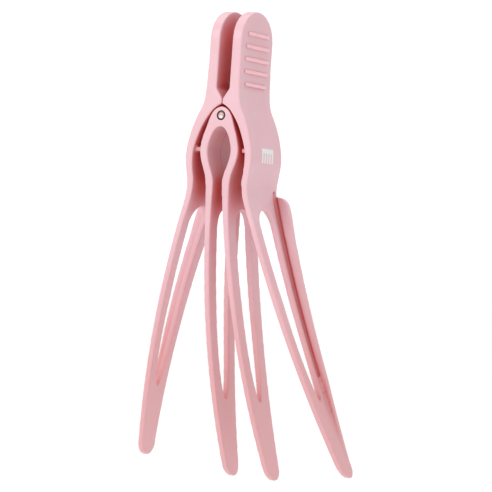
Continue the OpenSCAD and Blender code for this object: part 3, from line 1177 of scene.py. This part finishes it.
@dataclass
class TorsionSpring:
    """The spring on the pin, as wire swept along its path by Geometry Nodes: a coil and two arms."""

    wire: float = 0.3
    radius: float = 1.4
    turns: float = 2.5
    pitch: float = 0.72
    arm_top: float = 8.6
    lap: float = 0.06
    coil_steps: int = 120
    arm_steps: int = 8
    wire_sides: int = 16

    def tree(self, material: bpy.types.Material) -> bpy.types.NodeTree:
        """Builds the tree that sweeps round wire along a curve.

        Args:
            material: What the wire is made of.

        Returns:
            The tree, with the wire's radius as its input.
        """
        tree = bpy.data.node_groups.new("wire_sweep", "GeometryNodeTree")
        tree.interface.new_socket("Geometry", in_out="INPUT", socket_type="NodeSocketGeometry")
        tree.interface.new_socket("Wire Radius", in_out="INPUT", socket_type="NodeSocketFloat")
        tree.interface.new_socket("Geometry", in_out="OUTPUT", socket_type="NodeSocketGeometry")
        graph = Graph(tree)
        given = graph.add("NodeGroupInput")
        path = graph.add("GeometryNodeMeshToCurve")
        ring = graph.add("GeometryNodeCurvePrimitiveCircle")
        ring.inputs["Resolution"].default_value = self.wire_sides
        sweep = graph.add("GeometryNodeCurveToMesh")
        sweep.inputs["Fill Caps"].default_value = True
        graph.join(given.outputs["Geometry"], path.inputs["Mesh"])
        graph.join(given.outputs["Wire Radius"], ring.inputs["Radius"])
        graph.join(path.outputs[0], sweep.inputs["Curve"])
        graph.join(ring.outputs[0], sweep.inputs["Profile Curve"])
        real = graph.add("GeometryNodeRealizeInstances")
        graph.join(sweep.outputs[0], real.inputs["Geometry"])
        soft = graph.add("GeometryNodeSetShadeSmooth")
        graph.join(real.outputs[0], soft.inputs["Geometry"])
        paint = graph.add("GeometryNodeSetMaterial")
        paint.inputs["Material"].default_value = material
        graph.join(soft.outputs[0], paint.inputs["Geometry"])
        done = graph.add("NodeGroupOutput")
        graph.join(paint.outputs[0], done.inputs[0])
        return tree

    def coil_point(self, turn: float) -> Vector:
        """The wire's centre after a number of turns from the right arm, in millimetres from the pin."""
        angle = math.tau * turn
        along = self.pitch * (self.turns / 2 - turn)
        return Vector((self.radius * math.cos(angle), along, -self.radius * math.sin(angle)))

    def wire_piece(self, name: str, path: Sequence[Vector], tree: bpy.types.NodeTree) -> bpy.types.Object:
        """Makes a length of wire.

        Args:
            name: The object's name.
            path: Its centre line in millimetres from the pin.
            tree: The tree that sweeps the wire.

        Returns:
            The wire as a plain mesh.
        """
        mesh = bpy.data.meshes.new(name)
        places = [(p + Vector((0, 0, PIN_HEIGHT))) / MM_PER_METRE for p in path]
        mesh.from_pydata(places, [(i, i + 1) for i in range(len(places) - 1)], [])
        obj = new_object(name, mesh)
        sweep = obj.modifiers.new("wire", "NODES")
        sweep.node_group = tree
        for item in tree.interface.items_tree:
            if item.in_out == "INPUT" and item.name == "Wire Radius":
                sweep[item.identifier] = mm(self.wire)
        apply_modifiers(obj)
        return obj

    def build(self, steel: bpy.types.Material) -> list[bpy.types.Object]:
        """Makes the coil, which stays on the pin, and the arms, which follow the levers.

        Args:
            steel: The spring's material.

        Returns:
            The pieces.
        """
        tree = self.tree(steel)
        lap, steps, count = self.lap, self.coil_steps, self.arm_steps
        coil_path = [self.coil_point(lap / 2 + (self.turns - lap) * i / steps) for i in range(steps + 1)]
        coil = self.wire_piece("spring_coil", coil_path, tree)
        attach(coil, "fork_crown")
        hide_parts("torsion_spring")
        pieces = [coil]
        for side in Side:
            start = 0.0 if side is Side.RIGHT else self.turns
            curl = [self.coil_point(abs(start - lap * i / count)) for i in range(count + 1)]
            root = curl[0]
            straight = [Vector((root.x, root.y, self.arm_top * (count - i) / count)) for i in range(count)]
            arm = self.wire_piece(f"{side.word}_spring_arm", straight + curl, tree)
            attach(arm, f"{side.word}_lever")
            pieces.append(arm)
        for piece in pieces:
            dress(piece, steel)
        return pieces


# --- Studio ---------------------------------------------------------------


@dataclass
class Studio:
    """White floor, soft lights and the camera. Distances, places and the floor's reach are in metres."""

    azimuth: float = 30.0
    elevation: float = -0.32
    roll: float = 4.0
    distance: float = 0.600
    lens: float = 175.28
    sensor: float = 36.0
    clip_range: Span = (0.01, 20.0)
    aim_height: float = 17.83
    shift: float = 0.0374
    floor_height: float = -72.0
    floor_reach: float = 6.0
    floor_cells: int = 8
    room_light: float = 0.72
    room_colour: Colour = (1.0, 0.985, 0.99)
    backdrop_light: float = 1.1
    backdrop_colour: Colour = (1.0, 1.0, 1.0)
    key_place: tuple[float, float, float] = (-0.40, -0.90, 0.45)
    key_size: float = 0.5
    key_power: float = 3.1
    key_colour: Colour = (1.0, 0.96, 0.95)
    key_aim: float = 20.0
    overhead_power: float = 1.25
    overhead_spread: float = 70.0

    def camera(self) -> bpy.types.Object:
        """Places the camera."""
        data = bpy.data.cameras.new("camera")
        data.lens = self.lens
        data.sensor_width = self.sensor
        data.shift_x = self.shift
        data.clip_start, data.clip_end = self.clip_range
        obj = bpy.data.objects.new("camera", data)
        bpy.context.scene.collection.objects.link(obj)
        turn, rise = math.radians(self.azimuth), math.radians(self.elevation)
        ahead = Vector((-math.sin(turn) * math.cos(rise), math.cos(turn) * math.cos(rise), -math.sin(rise)))
        right = Vector((math.cos(turn), math.sin(turn), 0.0))
        up = right.cross(ahead)
        look = Matrix((right, up, -ahead)).transposed()
        spin = Matrix.Rotation(math.radians(self.roll), 3, "Z")
        place = Vector((0, 0, mm(self.aim_height))) - ahead * self.distance
        obj.matrix_world = Matrix.Translation(place) @ (look @ spin).to_4x4()
        bpy.context.scene.camera = obj
        return obj

    def light(self, name: str, place: Vector, size: float, power: float, colour: Colour) -> None:
        """Hangs one soft square light that faces the clip.

        Args:
            name: The light's name.
            place: Where it hangs, in metres.
            size: Its width in metres.
            power: Its power in watts.
            colour: Its colour.
        """
        data = bpy.data.lights.new(name, "AREA")
        data.shape = "SQUARE"
        data.size = size
        data.energy = power
        data.color = colour
        obj = bpy.data.objects.new(name, data)
        bpy.context.scene.collection.objects.link(obj)
        obj.location = place
        aim = Vector((0, 0, mm(self.key_aim)))
        obj.rotation_euler = (aim - place).to_track_quat("-Z", "Y").to_euler()

    def lay_floor(self, paper: bpy.types.Material) -> None:
        """Lays the sheet that the clip stands over."""
        sheet = bmesh.new()
        cells = self.floor_cells
        bmesh.ops.create_grid(sheet, x_segments=cells, y_segments=cells, size=self.floor_reach)
        floor = as_object(sheet, "floor")
        floor.location = (0, 0, mm(self.floor_height))
        floor.data.materials.append(paper)

    def light_room(self) -> None:
        """Fills the room with soft light, and shows the camera a plain white backdrop."""
        world = bpy.data.worlds.new("studio")
        bpy.context.scene.world = world
        world.use_nodes = True
        graph = Graph(world.node_tree)
        out = graph.add("ShaderNodeOutputWorld")
        paths = graph.add("ShaderNodeLightPath")
        pick = graph.add("ShaderNodeMixShader")
        graph.join(paths.outputs["Is Camera Ray"], pick.inputs["Fac"])
        views = ((self.room_colour, self.room_light), (self.backdrop_colour, self.backdrop_light))
        for place, (colour, strength) in enumerate(views, start=1):
            glow = graph.add("ShaderNodeBackground")
            glow.inputs["Color"].default_value = (*colour, 1.0)
            glow.inputs["Strength"].default_value = strength
            graph.join(glow.outputs[0], pick.inputs[place])
        graph.join(pick.outputs[0], out.inputs["Surface"])

    def build(self, paper: bpy.types.Material) -> None:
        """Lays the floor, lights the scene and places the camera.

        Args:
            paper: The floor's material.
        """
        self.lay_floor(paper)
        self.light_room()
        self.light("key", Vector(self.key_place), self.key_size, self.key_power, self.key_colour)
        overhead = bpy.data.lights.new("overhead", "SUN")
        overhead.energy = self.overhead_power
        overhead.angle = math.radians(self.overhead_spread)
        bpy.context.scene.collection.objects.link(bpy.data.objects.new("overhead", overhead))
        scene = bpy.context.scene
        scene.view_settings.view_transform = "Standard"
        scene.view_settings.look = "None"
        self.camera()


def main() -> None:
    """Builds every piece of the clip and the studio around it."""
    plastic = SatinPlastic().material("pink_plastic")
    marked = SatinPlastic(mark=CombMark()).material("pink_plastic_marked")
    fork_plastic = SatinPlastic(seam=PartingLine()).material("pink_plastic_fork")
    # The ribs' plastic is smoother than the pads. It is also painted paler as painted light on the raised
    # ribs, with a shorter reach for the painted gap shade.
    rib_plastic = SatinPlastic(
        colour=(0.89, 0.53, 0.575), deep=(0.88, 0.51, 0.555), pale=(0.90, 0.55, 0.595),
        roughness=0.28, gap_shade_reach=1.2,
    ).material("pink_plastic_polished_painted_light")
    steel = SatinSteel().material("satin_steel")
    pieces: list[bpy.types.Object] = []
    for side in Side:
        pieces += Lever(side).build(marked if side is Side.RIGHT else plastic, rib_plastic)
    pieces += Fork().build(fork_plastic)
    pieces.append(HingePin().build(steel))
    pieces += TorsionSpring().build(steel)
    for piece in pieces:
        log.info("%s: %d faces", piece.name, len(piece.data.polygons))
    Studio().build(StudioPaper().material("studio_paper"))


if __name__ == "__main__":
    main()
